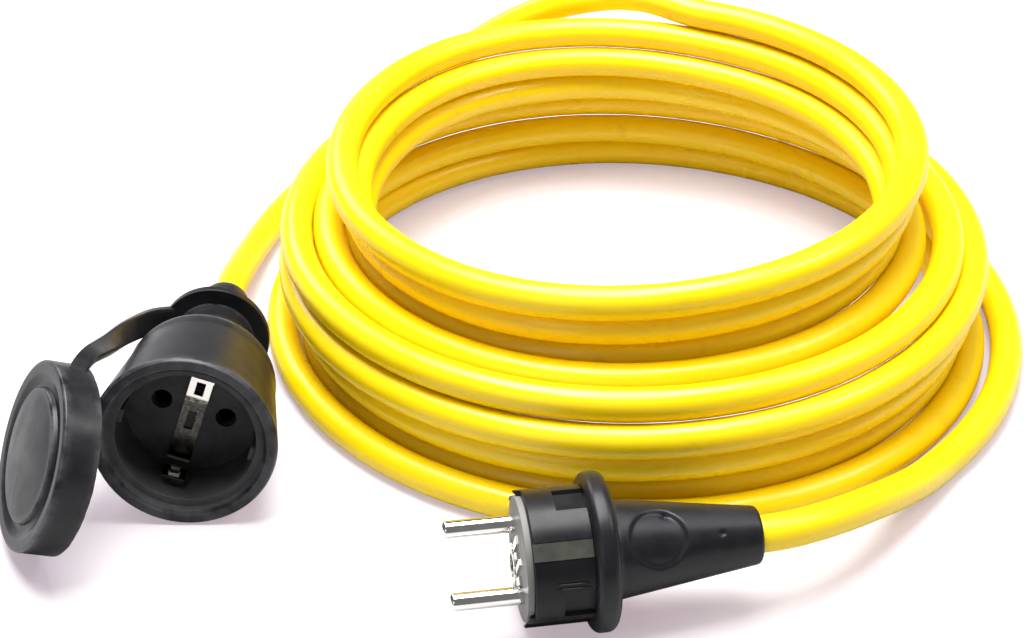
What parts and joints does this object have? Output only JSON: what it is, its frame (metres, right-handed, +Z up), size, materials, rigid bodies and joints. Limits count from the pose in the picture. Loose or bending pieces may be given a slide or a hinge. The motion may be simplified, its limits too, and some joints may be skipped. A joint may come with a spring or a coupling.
{
  "type": "extension cord",
  "caption": "Coiled extension cord: yellow rubber flex with a straight moulded plug and a round coupler socket with a captive sealing cap.",
  "frame": {"origin": "on the ground plane under the middle of the coupler with its open cap", "axes": "+Z up, +Y from the coupler's mouth to its gland, +X towards the plug and the coil"},
  "size_m": [0.3082, 0.2873, 0.0737],
  "materials": {
    "moulded_rubber": "satin",
    "hard_plastic": "satin",
    "face_plastic": "matte",
    "pin_nickel": "polished",
    "earth_strip": "satin",
    "contact_brass": "satin",
    "flex_sheath": "gloss",
    "core_brown": "satin",
    "core_blue": "satin",
    "core_green": "satin"
  },
  "bodies": {
    "cord": {"coupler_housing": "moulded_rubber", "coupler_insert": "hard_plastic", "coupler_earth_bridge": "earth_strip", "socket_live": "contact_brass", "socket_neutral": "contact_brass", "coupler_back_cover": "hard_plastic", "coupler_crimps": "contact_brass", "coupler_core_live": "core_brown", "coupler_core_neutral": "core_blue", "coupler_core_earth": "core_green", "coupler_sheath_end": "flex_sheath", "plug_housing": "moulded_rubber", "plug_body": "hard_plastic", "plug_face_insert": "face_plastic", "pin_live": "pin_nickel", "pin_neutral": "pin_nickel", "plug_earth_clips": "earth_strip", "plug_earth_socket": "contact_brass", "plug_crimps": "contact_brass", "plug_core_live": "core_brown", "plug_core_neutral": "core_blue", "plug_core_earth": "core_green", "plug_sheath_end": "flex_sheath", "cable_coil": "flex_sheath", "cable_lead_plug": "flex_sheath", "cable_lead_coupler": "flex_sheath"},
    "collar": {"strap_collar": "moulded_rubber", "cap_strap": "moulded_rubber"},
    "cap": {"sealing_cap": "moulded_rubber"}
  },
  "joints": [
    {"name": "collar_turn", "type": "hinge", "parent": "cord", "child": "collar", "pos_m": [0.0138, 0.03708, 0.01787], "axis": [0, 0.9922, -0.1244], "range_deg": [-25, 45]},
    {"name": "cap_hinge", "type": "hinge", "parent": "collar", "child": "cap", "pos_m": [-0.0049, -0.01134, 0.02394], "axis": [0, -0.4044, 0.9146], "range_deg": [0, 81], "deforming": ["cap_strap"]}
  ]
}
